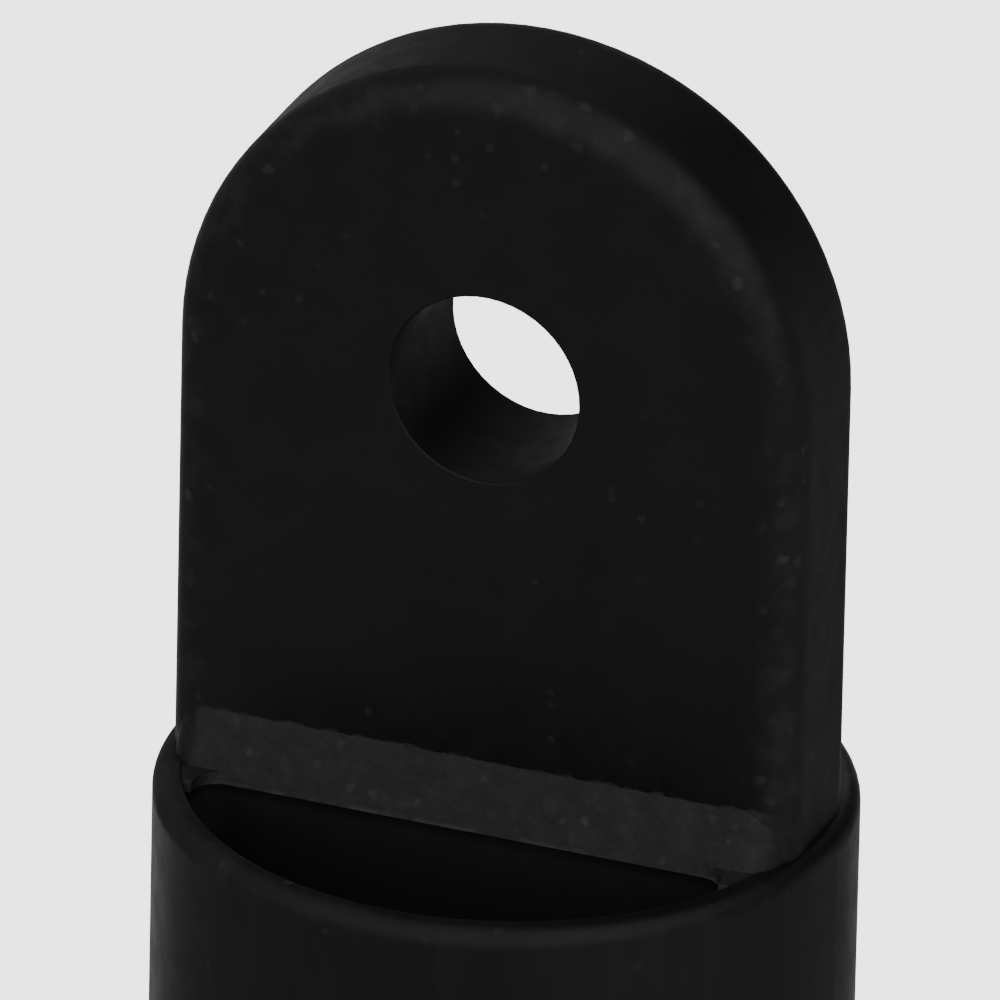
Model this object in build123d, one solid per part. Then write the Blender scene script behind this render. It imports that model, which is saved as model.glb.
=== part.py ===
from build123d import *
import os

os.makedirs("parts", exist_ok=True)

# Tube end with a moulded eye plug. Millimetres, +Z up.
# Origin: centre of the tube's square-cut lower end, on the tube's axis.
# The tongue's broad faces look along -Y and +Y, and the eye's bore runs along Y.

INCH = 25.4

# Tube: 7/8 in outside, 0.035 in wall, square cut. The rim's outer edge is rolled over
# by tumbling before coating, and the lower end is only broken.
TUBE_R = 7 / 8 * INCH / 2
TUBE_WALL = 0.035 * INCH
BORE_R = TUBE_R - TUBE_WALL
TUBE_LENGTH = 65.0
RIM_ROUND = 0.6
RIM_INNER_BREAK = 0.03
LOWER_BREAK = 0.2

# Tongue: flat blade with a full-round top, concentric with the eye
EYE_R = 1 / 4 * INCH / 2
EYE_ABOVE_RIM = 14.55
EYE_EDGE_BREAK = 0.04
TONGUE_R = 10.5
TONGUE_THICK = 5.5
TONGUE_EDGE_ROUND = 1.2

# Root: just short of the blade's sides each face slopes out to the web that stands in the
# tube's mouth. The blade is a little wider than the bore, so its ends bear on the rim and
# stop the plug.
ROOT_HEIGHT = 1.75
ROOT_SINK = 0.35
ROOT_R = TONGUE_R - 0.3
ROOT_CORNER = TONGUE_EDGE_ROUND
WEB_THICK = 7.2
WEB_R = BORE_R - 0.02

# Pocket corners: a pad at each end of the web rounds the corners of the two pockets
PAD_R = 8.85
PAD_REACH = 1.0
POCKET_CORNER = 0.9

# Insert: full-round lower part of the plug, cored out from below
POCKET_DEPTH = 10.0
INSERT_DEPTH = 36.0
INSERT_R = BORE_R - 0.20
INSERT_WALL = 2.3
CORE_ROOF = 3.0
LEAD_IN = 1.2
RIB_COUNT = 8
RIB_WIDTH = 1.4
RIB_R = BORE_R - 0.02
RIB_START_ABOVE_END = 2.5

# Blind rivets: 5/32 in, dome head, one through each side of the tube
RIVET_DEPTH = 22.0
RIVET_R = 5 / 32 * INCH / 2
RIVET_HOLE_R = RIVET_R + 0.07
HEAD_R = 4.0
HEAD_HEIGHT = 1.15
HEAD_EDGE = 0.25
HEAD_SKIRT = 0.35
BULB_R = 2.85
BULB_LENGTH = 2.4
BULB_SEAT = 0.35
STEM_R = 1.1
STEM_HEAD_R = 1.55
STEM_HEAD_LENGTH = 1.3
STEM_RECESS = 0.25

RIM_Z = TUBE_LENGTH
EYE_Z = RIM_Z + EYE_ABOVE_RIM
POCKET_Z = RIM_Z - POCKET_DEPTH
INSERT_Z = RIM_Z - INSERT_DEPTH
RIVET_Z = RIM_Z - RIVET_DEPTH
CORE_R = INSERT_R - INSERT_WALL


def upright(radius, low, high):
    """Solid round bar about the tube's axis, from one height to another."""
    return Pos(0, 0, (low + high) / 2) * Cylinder(radius, high - low)


def crossbar(radius, x_start, x_end, height):
    """Solid round bar along X at the given height, from one X to another."""
    return Pos((x_start + x_end) / 2, 0, height) * Rot(0, 90, 0) * Cylinder(radius, abs(x_end - x_start))


def make_tube():
    """Square-cut round tube with a rolled rim and the two rivet holes."""
    tube = upright(TUBE_R, 0, TUBE_LENGTH)
    tube = fillet(tube.edges().sort_by(Axis.Z)[-1], RIM_ROUND)
    tube = chamfer(tube.edges().sort_by(Axis.Z)[0], LOWER_BREAK)
    tube -= upright(BORE_R, 0, TUBE_LENGTH)
    ends = tube.edges().filter_by(GeomType.CIRCLE)
    tube = chamfer(ends.filter_by(lambda edge: abs(edge.radius - BORE_R) < 0.01), RIM_INNER_BREAK)
    return tube - crossbar(RIVET_HOLE_R, -2 * TUBE_R, 2 * TUBE_R, RIVET_Z)


def make_tongue():
    """Flat blade with a full-round top and rounded edges, pierced by the eye."""
    foot = Pos(0, 0, (RIM_Z + EYE_Z) / 2) * Box(2 * TONGUE_R, TONGUE_THICK, EYE_Z - RIM_Z)
    crown = Pos(0, 0, EYE_Z) * Rot(90, 0, 0) * Cylinder(TONGUE_R, TONGUE_THICK)
    blade = foot + crown
    faces = blade.faces().filter_by(Axis.Y)
    rim_edges = faces.edges().filter_by(lambda edge: edge.center().Z > RIM_Z + 0.01)
    blade = fillet(rim_edges, TONGUE_EDGE_ROUND)
    blade -= Pos(0, 0, EYE_Z) * Rot(90, 0, 0) * Cylinder(EYE_R, 2 * TONGUE_THICK)
    mouths = blade.edges().filter_by(GeomType.CIRCLE)
    mouths = mouths.filter_by(lambda edge: abs(edge.radius - EYE_R) < 0.01)
    return chamfer(mouths, EYE_EDGE_BREAK)


def tapered(bottom, low, top, high):
    """Solid that changes from one outline to another between two heights."""
    outlines = [(Plane.XY.offset(low) * bottom).face(), (Plane.XY.offset(high) * top).face()]
    return loft(Sketch() + outlines)


def mouth_outline(thickness):
    """Web of a given thickness with a pad at each end, and rounded corners between them."""
    pad = Pos((PAD_R + TUBE_R) / 2, 0) * Rectangle(TUBE_R - PAD_R, thickness + 2 * PAD_REACH)
    outline = Rectangle(2 * TUBE_R, thickness) + pad + pad.mirror(Plane.YZ)
    corners = outline.vertices().filter_by(lambda v: abs(abs(v.X) - PAD_R) < 0.01)
    corners = corners.filter_by(lambda v: abs(abs(v.Y) - thickness / 2) < 0.01)
    return fillet(corners, POCKET_CORNER)


def make_root():
    """Sloping wedge on each face of the tongue, and the seat that goes on with its slope below the rim."""
    low = RIM_Z - ROOT_SINK
    high = RIM_Z + ROOT_HEIGHT
    slope = (WEB_THICK - TONGUE_THICK) / (ROOT_SINK + ROOT_HEIGHT)
    rim_thick = WEB_THICK - slope * ROOT_SINK
    wide = RectangleRounded(2 * ROOT_R, rim_thick, ROOT_CORNER)
    narrow = RectangleRounded(2 * ROOT_R, TONGUE_THICK, ROOT_CORNER)
    wedge = tapered(wide, RIM_Z, narrow, high)
    seat = tapered(mouth_outline(WEB_THICK), low, mouth_outline(rim_thick), RIM_Z)
    return wedge + (seat & upright(WEB_R, low, RIM_Z))


def make_web():
    """Slab across the tube's mouth between the two D-shaped pockets, with a pad at each end."""
    top = RIM_Z - ROOT_SINK
    slab = extrude(Plane.XY.offset(POCKET_Z) * mouth_outline(WEB_THICK), top - POCKET_Z)
    return slab & upright(WEB_R, POCKET_Z, top)


def make_insert():
    """Full-round insert with a lead-in, crush ribs and a core open at the bottom."""
    insert = upright(INSERT_R, INSERT_Z, POCKET_Z)
    insert = chamfer(insert.edges().sort_by(Axis.Z)[0], LEAD_IN)
    rib_low = INSERT_Z + RIB_START_ABOVE_END
    ribs = upright(RIB_R, rib_low, POCKET_Z) & rib_spokes(rib_low)
    insert = insert + ribs
    return insert - upright(CORE_R, INSERT_Z, POCKET_Z - CORE_ROOF)


def rib_spokes(low):
    """Crossed slabs that mark where the crush ribs stand, clear of the rivets."""
    spokes = None
    for index in range(RIB_COUNT // 2):
        turn = (index + 0.5) * 360 / RIB_COUNT
        spoke = Pos(0, 0, (low + POCKET_Z) / 2) * Rot(0, 0, turn)
        spoke = spoke * Box(2 * TUBE_R, RIB_WIDTH, POCKET_Z - low)
        spokes = spoke if spokes is None else spokes + spoke
    return spokes


def make_plug():
    """The whole moulding: tongue, root, web and insert in one piece."""
    plug = make_tongue() + make_root() + make_web() + make_insert()
    return plug - crossbar(RIVET_HOLE_R, -2 * TUBE_R, 2 * TUBE_R, RIVET_Z)


def turned(outline, side):
    """Revolve a half outline of (radius, distance from the tube's axis) and lay it along X."""
    section = make_face(Polyline(*[(radius, 0, out) for radius, out in outline], close=True))
    return Pos(0, 0, RIVET_Z) * Rot(0, 90 * side, 0) * revolve(section, Axis.Z)


def make_rivet(side):
    """Rivet sleeve: dome head outside the tube, barrel, and bulb inside the core."""
    bulb_low = CORE_R - BULB_LENGTH
    bulb_step = BULB_LENGTH / 4
    barrel = turned([
        (STEM_R, bulb_low),
        (RIVET_R, bulb_low),
        (BULB_R, bulb_low + bulb_step),
        (BULB_R, CORE_R - BULB_SEAT - bulb_step),
        (RIVET_R, CORE_R - BULB_SEAT),
        (RIVET_R, TUBE_R + HEAD_EDGE),
        (STEM_R, TUBE_R + HEAD_EDGE),
    ], side)
    dome_r = (HEAD_R ** 2 + (HEAD_HEIGHT - HEAD_EDGE) ** 2) / (2 * (HEAD_HEIGHT - HEAD_EDGE))
    crown = Pos(0, 0, TUBE_R + HEAD_HEIGHT - dome_r) * Sphere(dome_r)
    blank_length = HEAD_SKIRT + HEAD_HEIGHT
    blank = Pos(0, 0, TUBE_R - HEAD_SKIRT + blank_length / 2) * Cylinder(HEAD_R, blank_length)
    stem_hole = Pos(0, 0, TUBE_R) * Cylinder(STEM_R, 4 * HEAD_HEIGHT)
    head = Pos(0, 0, RIVET_Z) * Rot(0, 90 * side, 0) * ((blank & crown) - stem_hole)
    head -= upright(TUBE_R, RIVET_Z - 2 * HEAD_R, RIVET_Z + 2 * HEAD_R)
    return head + barrel


def make_stem(side):
    """What is left of the rivet's pulling stem, with its head behind the bulb."""
    back = CORE_R - BULB_LENGTH
    return turned([
        (0, back - STEM_HEAD_LENGTH),
        (STEM_R, back - STEM_HEAD_LENGTH),
        (STEM_HEAD_R, back - STEM_HEAD_LENGTH / 2),
        (STEM_HEAD_R, back),
        (STEM_R, back),
        (STEM_R, TUBE_R + HEAD_HEIGHT - STEM_RECESS),
        (0, TUBE_R + HEAD_HEIGHT - STEM_RECESS),
    ], side)


NODES = {
    "frame_tube": make_tube(),
    "eye_plug": make_plug(),
    "rivet_right": make_rivet(1),
    "rivet_right_stem": make_stem(1),
    "rivet_left": make_rivet(-1),
    "rivet_left_stem": make_stem(-1),
}

for name, solid in NODES.items():
    export_step(solid, f"parts/{name}.step")
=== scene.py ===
import math

import bpy
from mathutils import Matrix, Vector


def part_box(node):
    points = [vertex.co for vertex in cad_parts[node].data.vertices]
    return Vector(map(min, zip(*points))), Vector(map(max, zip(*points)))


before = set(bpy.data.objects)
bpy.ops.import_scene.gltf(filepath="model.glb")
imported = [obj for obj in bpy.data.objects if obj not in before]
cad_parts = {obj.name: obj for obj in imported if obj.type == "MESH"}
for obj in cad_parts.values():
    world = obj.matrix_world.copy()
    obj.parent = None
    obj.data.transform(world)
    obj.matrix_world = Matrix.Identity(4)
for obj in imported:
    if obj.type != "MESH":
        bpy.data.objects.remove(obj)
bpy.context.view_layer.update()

MM = 0.001

# Camera: where the photograph was taken from, measured from the tube's rim
CAMERA_AZIMUTH = math.radians(21.0)
CAMERA_ELEVATION = math.radians(26.0)
CAMERA_ROLL = math.radians(1.25)
CAMERA_DISTANCE = 0.932
FIELD_WIDTH = 31.2 * MM
SENSOR_WIDTH = 36.0
AIM_ABOVE_RIM = 9.55 * MM
AIM_LEFT_OF_AXIS = 0.4 * MM

# Floor: a wide pale sheet with a lamp of its own
FLOOR_SIZE = 12.0
FLOOR_TONES = [(0.3, 0.81), (0.7, 0.83)]
FLOOR_LAMP_STRENGTH = 11.5
FLOOR_LAMP_ANGLE = math.radians(60)

# Room: dim, with one broad soft light in front and overhead, and a backdrop that only the
# camera sees. Side walls fade from right to left, and the floor's glow from front to back.
BACKDROP = 3.1
SOFT_LIGHT_FROM = Vector((0.25, -0.75, 0.6))
SOFT_LIGHT_TONES = [(0.0, 0.05), (0.3, 0.2), (0.7, 0.49), (1.0, 0.54)]
RIGHT_WALL_AT = 0.35
RIGHT_WALL_TONE = 0.04
LEFT_WALL_AT = -0.3
LEFT_WALL_TONE = 0.16
FLOOR_GLOW_REACH = 0.9
FLOOR_GLOW_FRONT = 0.2
FLOOR_GLOW_BACK = 0.12
HORIZON_BLUR = 0.08

# Round patches of the room: direction, where each begins and is full, as the cosine of the
# angle from its middle, and its tone
FLOOR_PATCH_RIGHT = (Vector((1, -0.4, -0.5)), (0.6, 1.0), 0.28)
DARK_CORNER = (Vector((0.45, 0.9, 0.12)), (0.9, 0.98), 0.025)
RIGHT_GLOW = (Vector((0.75, 0.65, -0.15)), (0.86, 1.0), 0.21)
PALE_WALL = (Vector((-0.4, 0.8, -0.45)), (0.8, 1.0), 0.45)

# Places that the finishes follow
RIM_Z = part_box("frame_tube")[1].z
TONGUE_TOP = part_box("eye_plug")[1].z
TONGUE_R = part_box("eye_plug")[1].x
RIVET_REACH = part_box("rivet_right")[1].x
EYE_Z = TONGUE_TOP - TONGUE_R
ROOT_TOP = RIM_Z + 1.75 * MM
ROOT_FOOT = RIM_Z - 0.35 * MM
FACE_Y = 2.75 * MM
EDGE_ROUND = 1.2 * MM
ROOT_R = TONGUE_R - 0.3 * MM
ROOT_LEFT = EDGE_ROUND - TONGUE_R
BORE_R = 10.22 * MM
RIM_ROUND = 0.6 * MM

# Greys of the finishes, with the painted highlights and painted fill light among them. A list is a
# ramp of (noise level, grey) stops.
NYLON_TONES = [(0.3, 0.0085), (0.7, 0.0135)]
ROOT_TONES = [(0.3, 0.024), (0.55, 0.033), (0.75, 0.046)]
GRIT_TONE = 0.075
# Painted highlight along the root's lower edge, where a rounded edge would catch the light
CREASE_HIGHLIGHT_TONE = 0.07
SCUFF_TONE = 0.026
# Painted fill light in the pocket and the bore, lifting hollows that get little light
POCKET_FILL_LIGHT_TONE = 0.027
TUBE_TONES = [(0.3, 0.008), (0.7, 0.0135)]
STREAK_TONE = 0.03
# Rim greys from middle to left: rubbed wear, painted lighter towards the left as a painted highlight
RIM_TONE_MIDDLE = 0.016
RIM_LEFT_WEAR_AND_LIGHT_TONE = 0.036
# Painted highlight on the rim's flat top at the rear right
REAR_RIM_HIGHLIGHT_TONE = 0.07
NICK_TONE = 0.06
DUST_TONE = 0.045
RIVET_TONES = [(0.3, 0.009), (0.7, 0.016)]
RUBBED_CROWN_TONE = 0.06
STEM_TONES = [(0.3, 0.28), (0.7, 0.5)]

# Roughness of the finishes, in the same form
NYLON_ROUGHNESS = [(0.3, 0.40), (0.7, 0.52)]
ROOT_ROUGHNESS = 0.58
RUBBED_EDGE_ROUGHNESS = 0.38
TUBE_ROUGHNESS = [(0.3, 0.34), (0.7, 0.44)]
RIM_ROUGHNESS = 0.56
RIVET_ROUGHNESS = [(0.3, 0.3), (0.7, 0.44)]
STEM_ROUGHNESS = [(0.3, 0.35), (0.7, 0.6)]
FLOOR_ROUGHNESS = 0.9


def build_camera():
    """Camera at the photograph's viewing angle, from far off through a long lens."""
    a, e = CAMERA_AZIMUTH, CAMERA_ELEVATION
    back = Vector((math.sin(a) * math.cos(e), -math.cos(a) * math.cos(e), math.sin(e)))
    flat_right = Vector((math.cos(a), math.sin(a), 0))
    turn = Matrix.Rotation(CAMERA_ROLL, 3, back)
    right = turn @ flat_right
    up = turn @ back.cross(flat_right)
    aim = Vector((0, 0, RIM_Z + AIM_ABOVE_RIM)) - right * AIM_LEFT_OF_AXIS
    data = bpy.data.cameras.new("photo_camera")
    data.sensor_width = SENSOR_WIDTH
    data.lens = SENSOR_WIDTH * CAMERA_DISTANCE / FIELD_WIDTH
    data.clip_start = CAMERA_DISTANCE / 100
    data.clip_end = CAMERA_DISTANCE * 100
    camera = bpy.data.objects.new("photo_camera", data)
    axes = Matrix((right, up, back)).transposed().to_4x4()
    camera.matrix_world = Matrix.Translation(aim + back * CAMERA_DISTANCE) @ axes
    bpy.context.scene.collection.objects.link(camera)
    bpy.context.scene.camera = camera


class Graph:
    """Short calls for adding nodes to one node tree."""

    def __init__(self, tree):
        self.nodes = tree.nodes
        self.links = tree.links
        self.coords = self.nodes.new("ShaderNodeTexCoord")

    def put(self, socket, value):
        """Sets a socket from a plain number, a grey, a vector or another socket."""
        if isinstance(value, bpy.types.NodeSocket):
            self.links.new(value, socket)
        elif socket.type == "RGBA":
            socket.default_value = (value, value, value, 1)
        else:
            socket.default_value = value

    def math(self, operation, *values):
        """One step of arithmetic."""
        node = self.nodes.new("ShaderNodeMath")
        node.operation = operation
        for socket, value in zip(node.inputs, values):
            self.put(socket, value)
        return node.outputs["Value"]

    def times(self, *values):
        """Product of two or more values."""
        product = values[0]
        for value in values[1:]:
            product = self.math("MULTIPLY", product, value)
        return product

    def hypot(self, first, second):
        """Length of the slanted side over two square ones."""
        squares = self.math("ADD", self.times(first, first), self.times(second, second))
        return self.math("SQRT", squares)

    def axes(self, vector):
        """X, Y and Z of a vector."""
        node = self.nodes.new("ShaderNodeSeparateXYZ")
        self.put(node.inputs["Vector"], vector)
        return node.outputs["X"], node.outputs["Y"], node.outputs["Z"]

    def toward(self, vector, axis):
        """How far a direction points along an axis, from -1 to 1."""
        node = self.nodes.new("ShaderNodeVectorMath")
        node.operation = "DOT_PRODUCT"
        self.put(node.inputs[0], vector)
        self.put(node.inputs[1], axis.normalized())
        return node.outputs["Value"]

    def fade(self, value, low, high, to_low=0.0, to_high=1.0):
        """Smooth step from one value to another as the input goes from low to high."""
        node = self.nodes.new("ShaderNodeMapRange")
        node.interpolation_type = "SMOOTHSTEP"
        self.put(node.inputs["Value"], value)
        self.put(node.inputs["From Min"], low)
        self.put(node.inputs["From Max"], high)
        self.put(node.inputs["To Min"], to_low)
        self.put(node.inputs["To Max"], to_high)
        return node.outputs["Result"]

    def mix(self, factor, first, second):
        """Blend of two colours or greys."""
        node = self.nodes.new("ShaderNodeMix")
        node.data_type = "RGBA"
        self.put(node.inputs["Factor"], factor)
        self.put(node.inputs["A"], first)
        self.put(node.inputs["B"], second)
        return node.outputs["Result"]

    def ramp(self, value, stops):
        """Grey ramp through (position, tone) stops."""
        node = self.nodes.new("ShaderNodeValToRGB")
        elements = node.color_ramp.elements
        while len(elements) < len(stops):
            elements.new(0.5)
        for element, (position, tone) in zip(elements, stops):
            element.position = position
            element.color = (tone, tone, tone, 1)
        self.put(node.inputs["Fac"], value)
        return node.outputs["Color"]

    def scaled(self, size, stretch, shift):
        """Object coordinates counted in steps of the given size, moved so that patterns differ."""
        node = self.nodes.new("ShaderNodeMapping")
        node.inputs["Scale"].default_value = [s / size for s in stretch]
        node.inputs["Location"].default_value = (shift, 2 * shift, 3 * shift)
        self.put(node.inputs["Vector"], self.coords.outputs["Object"])
        return node.outputs["Vector"]

    def noise(self, size, detail=4.0, stretch=(1, 1, 1), shift=0.0):
        """Soft noise with blotches of about the given size in metres."""
        node = self.nodes.new("ShaderNodeTexNoise")
        self.put(node.inputs["Vector"], self.scaled(size, stretch, shift))
        node.inputs["Scale"].default_value = 1.0
        node.inputs["Detail"].default_value = detail
        node.inputs["Roughness"].default_value = 0.6
        return node.outputs["Fac"]

    def specks(self, spacing, radius, share, shift=0.0):
        """Uneven specks, one in some of the cells of a grid of the given spacing."""
        node = self.nodes.new("ShaderNodeTexVoronoi")
        self.put(node.inputs["Vector"], self.scaled(spacing, (1, 1, 1), shift))
        node.inputs["Scale"].default_value = 1.0
        node.inputs["Randomness"].default_value = 1.0
        reach = radius / spacing
        outline = self.noise(radius, detail=2.0, shift=shift + 1.7)
        uneven = self.math("MULTIPLY_ADD", outline, 1.6 * reach, -0.8 * reach)
        distance = self.math("ADD", node.outputs["Distance"], uneven)
        spot = self.fade(distance, reach, 0.3 * reach)
        chance, strength, _ = self.axes(node.outputs["Color"])
        chosen = self.fade(chance, 1 - share, 1 - 0.6 * share)
        return self.times(spot, chosen, strength)

    def bump(self, height, distance, below=None):
        """Bump of a given height in metres, laid over another if there is one."""
        node = self.nodes.new("ShaderNodeBump")
        self.put(node.inputs["Height"], height)
        node.inputs["Distance"].default_value = distance
        if below is not None:
            self.put(node.inputs["Normal"], below)
        return node.outputs["Normal"]


def new_material(name, specular=0.5, metallic=0.0):
    """Node material with its constants set, and the graph to add its detail to."""
    material = bpy.data.materials.new(name)
    material.use_nodes = True
    shader = material.node_tree.nodes["Principled BSDF"]
    shader.inputs["Specular IOR Level"].default_value = specular
    shader.inputs["Metallic"].default_value = metallic
    return material, Graph(material.node_tree), shader


def root_mask(g, x, y, z):
    """1 on the two wedges of the plug's root, with a ragged upper edge."""
    ragged = 0.5 * MM
    soft = 0.08 * MM
    height = g.math("MULTIPLY_ADD", g.noise(ragged, detail=3.0, shift=3.1), ragged, -ragged / 2)
    height = g.math("ADD", z, height)
    below_top = g.fade(height, ROOT_TOP + soft, ROOT_TOP - soft)
    above_foot = g.fade(z, ROOT_FOOT - 0.03 * MM, ROOT_FOOT)
    from_left = g.fade(x, ROOT_LEFT - 0.3 * MM, ROOT_LEFT)
    to_right = g.fade(x, ROOT_R, ROOT_R - 0.4 * MM)
    off_side = g.fade(g.math("ABSOLUTE", y), FACE_Y - 0.3 * MM, FACE_Y)
    return g.times(below_top, above_foot, from_left, to_right, off_side)


def tongue_edge_mask(g, x, y, z):
    """1 on the rounding between the tongue's faces and its edge, all the way round."""
    rise = g.math("MAXIMUM", g.math("SUBTRACT", z, EYE_Z), 0.0)
    out = g.hypot(x, rise)
    near_edge = g.fade(out, TONGUE_R - EDGE_ROUND - 0.3 * MM, TONGUE_R - 0.6 * EDGE_ROUND)
    near_face = g.fade(g.math("ABSOLUTE", y), FACE_Y - EDGE_ROUND, FACE_Y - 0.4 * EDGE_ROUND)
    return g.times(near_edge, near_face)


def black_nylon():
    """Moulded nylon: smooth on the tongue, coarse-grained on the root, with dust and rubbed edges, a
    painted highlight along the root's lower edge, and painted fill light down in the pocket.
    """
    material, g, shader = new_material("black_nylon")
    x, y, z = g.axes(g.coords.outputs["Object"])
    root = root_mask(g, x, y, z)
    edge = tongue_edge_mask(g, x, y, z)

    tone = g.ramp(g.noise(2.4 * MM), NYLON_TONES)
    tone = g.mix(root, tone, g.ramp(g.noise(0.6 * MM, detail=2.0, shift=7.7), ROOT_TONES))
    grit = g.specks(0.7 * MM, 0.2 * MM, 0.6, shift=1.3)
    tone = g.mix(g.times(grit, root), tone, GRIT_TONE)
    # Painted highlight: a lighter strip along the root's lower edge, broken into patches
    crease = g.fade(z, ROOT_FOOT + 0.16 * MM, ROOT_FOOT + 0.04 * MM)
    highlight_breaks = g.fade(g.noise(1.4 * MM, shift=9.9), 0.45, 0.6)
    tone = g.mix(g.times(crease, root, highlight_breaks), tone, CREASE_HIGHLIGHT_TONE)
    scuffs = g.fade(g.noise(1.1 * MM, detail=3.0, shift=5.2), 0.42, 0.7)
    tone = g.mix(g.times(scuffs, edge), tone, SCUFF_TONE)
    nicks = g.specks(0.8 * MM, 0.28 * MM, 0.8, shift=8.1)
    tone = g.mix(g.times(nicks, edge), tone, NICK_TONE)
    dust = g.specks(0.9 * MM, 0.2 * MM, 0.5, shift=2.9)
    patches = g.fade(g.noise(6 * MM, detail=1.0, shift=4.4), 0.42, 0.62, 0.12, 0.8)
    tone = g.mix(g.times(dust, patches), tone, DUST_TONE)
    # Painted fill light: lighter below the root's foot, down in the pocket
    tone = g.mix(g.fade(z, ROOT_FOOT, ROOT_FOOT - 0.5 * MM), tone, POCKET_FILL_LIGHT_TONE)
    g.put(shader.inputs["Base Color"], tone)

    roughness = g.ramp(g.noise(0.9 * MM, shift=6.0), NYLON_ROUGHNESS)
    roughness = g.mix(root, roughness, ROOT_ROUGHNESS)
    roughness = g.mix(g.times(edge, 0.5), roughness, RUBBED_EDGE_ROUGHNESS)
    g.put(shader.inputs["Roughness"], roughness)

    fine = g.bump(g.noise(0.16 * MM, detail=2.0), 0.004 * MM)
    grain = g.times(g.noise(0.45 * MM, detail=2.5, shift=8.8), root)
    g.put(shader.inputs["Normal"], g.bump(grain, 0.05 * MM, fine))
    return material


def coated_tube():
    """Black coated metal: faintly streaked along the tube, and worn on the rim's front and left,
    where the rim is also painted lighter towards the left as a painted highlight; with a painted
    highlight on the rim's flat top at the rear right and painted fill light on the bore's inside
    wall.
    """
    material, g, shader = new_material("coated_tube")
    x, y, z = g.axes(g.coords.outputs["Object"])
    out = g.hypot(x, y)
    rim = g.fade(z, RIM_Z - 1.5 * RIM_ROUND, RIM_Z - 0.4 * RIM_ROUND)
    rim = g.times(rim, g.fade(x, 8 * MM, 3 * MM))

    tone = g.ramp(g.noise(1.6 * MM, stretch=(1, 1, 0.25)), TUBE_TONES)
    streaks = g.fade(g.noise(1.1 * MM, detail=2.0, stretch=(1, 1, 0.08), shift=3.7), 0.55, 0.75)
    tone = g.mix(g.times(streaks, 0.35), tone, STREAK_TONE)
    # Rim rubbed in patches, and painted lighter towards the left as a painted highlight; the rim's
    # right is left dark
    rubbed = g.fade(g.noise(1.3 * MM, shift=9.1), 0.35, 0.7, 0.25, 0.9)
    rim_wear_and_light = g.fade(x, 0.0, -8 * MM, RIM_TONE_MIDDLE, RIM_LEFT_WEAR_AND_LIGHT_TONE)
    tone = g.mix(g.times(rubbed, rim), tone, rim_wear_and_light)
    nicks = g.specks(0.9 * MM, 0.2 * MM, 0.5, shift=4.8)
    tone = g.mix(g.times(nicks, rim), tone, NICK_TONE)
    tone = g.mix(g.specks(1.5 * MM, 0.2 * MM, 0.5, shift=5.9), tone, DUST_TONE)
    # Painted highlight: the rim's flat top lighter at the rear right
    flat_top = g.fade(z, RIM_Z - 0.08 * MM, RIM_Z - 0.02 * MM)
    rear_right = g.times(g.fade(y, 2 * MM, 3.5 * MM), g.fade(x, 5 * MM, 8 * MM))
    tone = g.mix(g.times(flat_top, rear_right), tone, REAR_RIM_HIGHLIGHT_TONE)
    # Painted fill light: lighter on the bore's inside wall
    inside = g.fade(out, BORE_R + 0.08 * MM, BORE_R + 0.02 * MM)
    tone = g.mix(inside, tone, POCKET_FILL_LIGHT_TONE)
    g.put(shader.inputs["Base Color"], tone)

    roughness = g.ramp(g.noise(1.2 * MM, shift=6.6), TUBE_ROUGHNESS)
    g.put(shader.inputs["Roughness"], g.mix(rim, roughness, RIM_ROUGHNESS))

    peel = g.bump(g.noise(0.7 * MM, detail=2.0, shift=1.9), 0.008 * MM)
    pits = g.times(g.noise(0.4 * MM, detail=2.0, shift=2.2), rim)
    g.put(shader.inputs["Normal"], g.bump(pits, 0.01 * MM, peel))
    return material


def rivet_coat():
    """Black-coated aluminium rivet sleeve, rubbed through here and there on the crown."""
    material, g, shader = new_material("rivet_coat")
    out = g.math("ABSOLUTE", g.axes(g.coords.outputs["Object"])[0])
    crown = g.fade(out, RIVET_REACH - 0.3 * MM, RIVET_REACH)
    rubbed = g.fade(g.noise(0.45 * MM, detail=5.0, shift=2.4), 0.5, 0.7)
    tone = g.mix(g.times(rubbed, crown), g.ramp(g.noise(0.8 * MM), RIVET_TONES), RUBBED_CROWN_TONE)
    g.put(shader.inputs["Base Color"], tone)
    g.put(shader.inputs["Roughness"], g.ramp(g.noise(0.5 * MM, shift=3.3), RIVET_ROUGHNESS))
    g.put(shader.inputs["Normal"], g.bump(g.noise(0.3 * MM, detail=2.0), 0.01 * MM))
    return material


def stem_steel():
    """Plated steel of the rivets' stems, grainy where the stem snapped off."""
    material, g, shader = new_material("stem_steel", metallic=1.0)
    g.put(shader.inputs["Base Color"], g.ramp(g.noise(0.3 * MM), STEM_TONES))
    g.put(shader.inputs["Roughness"], g.ramp(g.noise(0.15 * MM, shift=1.0), STEM_ROUGHNESS))
    g.put(shader.inputs["Normal"], g.bump(g.noise(0.18 * MM, detail=3.0), 0.03 * MM))
    return material


def dress(node, material):
    """Gives a CAD node one material all over."""
    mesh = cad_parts[node].data
    mesh.materials.clear()
    mesh.materials.append(material)


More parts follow.
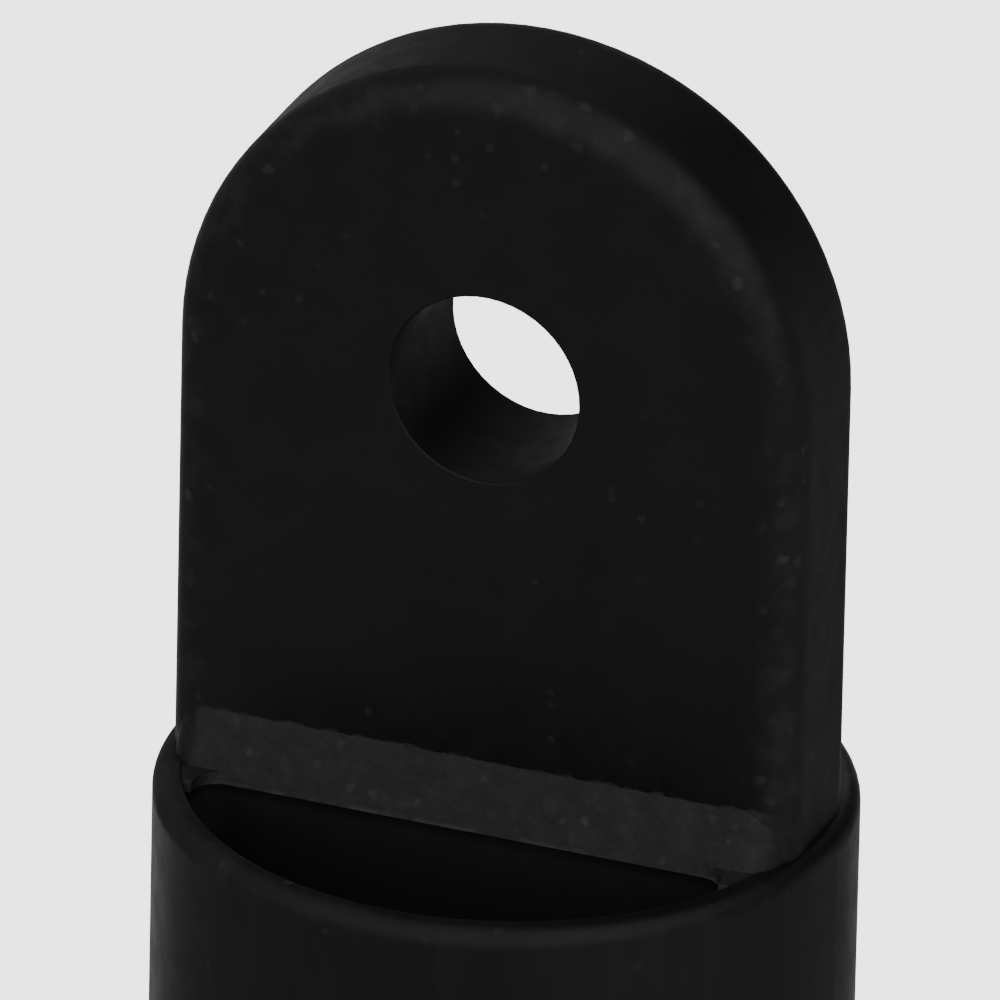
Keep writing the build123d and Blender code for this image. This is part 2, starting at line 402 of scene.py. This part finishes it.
def build_floor():
    """Plain pale floor, lit evenly by a lamp of its own, which the black part doesn't mirror."""
    bpy.ops.mesh.primitive_plane_add(size=FLOOR_SIZE, location=(0, 0, 0))
    floor = bpy.context.object
    floor.name = "studio_floor"
    floor.visible_glossy = False
    floor.visible_diffuse = False
    material, g, shader = new_material("studio_floor", specular=0.0)
    g.put(shader.inputs["Base Color"], g.ramp(g.noise(40 * MM), FLOOR_TONES))
    shader.inputs["Roughness"].default_value = FLOOR_ROUGHNESS
    floor.data.materials.append(material)

    data = bpy.data.lights.new("floor_lamp", "SUN")
    data.energy = FLOOR_LAMP_STRENGTH
    data.angle = FLOOR_LAMP_ANGLE
    lamp = bpy.data.objects.new("floor_lamp", data)
    only_floor = bpy.data.collections.new("floor_lamp_receivers")
    only_floor.objects.link(floor)
    lamp.light_linking.receiver_collection = only_floor
    bpy.context.scene.collection.objects.link(lamp)


def with_patch(g, room, direction, patch):
    """The room with one soft-edged round patch laid over it."""
    middle, (begins, full), tone = patch
    return g.mix(g.fade(g.toward(direction, middle), begins, full), room, tone)


def build_world():
    """The room's soft light, and a pale backdrop where the camera looks past the floor."""
    world = bpy.data.worlds.new("studio")
    world.use_nodes = True
    g = Graph(world.node_tree)
    direction = g.coords.outputs["Generated"]
    x, y, z = g.axes(direction)
    soft_light = g.ramp(g.toward(direction, SOFT_LIGHT_FROM), SOFT_LIGHT_TONES)
    walls = g.fade(x, RIGHT_WALL_AT, LEFT_WALL_AT, RIGHT_WALL_TONE, LEFT_WALL_TONE)
    upper = g.math("MAXIMUM", soft_light, walls)
    lower = g.fade(y, -FLOOR_GLOW_REACH, FLOOR_GLOW_REACH, FLOOR_GLOW_FRONT, FLOOR_GLOW_BACK)
    lower = with_patch(g, lower, direction, FLOOR_PATCH_RIGHT)
    room = g.mix(g.fade(z, -HORIZON_BLUR, HORIZON_BLUR), lower, upper)
    for patch in (DARK_CORNER, RIGHT_GLOW, PALE_WALL):
        room = with_patch(g, room, direction, patch)
    seen = g.nodes.new("ShaderNodeLightPath").outputs["Is Camera Ray"]
    g.put(world.node_tree.nodes["Background"].inputs["Color"], g.mix(seen, room, BACKDROP))
    bpy.context.scene.world = world


dress("eye_plug", black_nylon())
dress("frame_tube", coated_tube())
coat = rivet_coat()
steel = stem_steel()
for side in ("right", "left"):
    dress(f"rivet_{side}", coat)
    dress(f"rivet_{side}_stem", steel)
build_floor()
build_world()
build_camera()
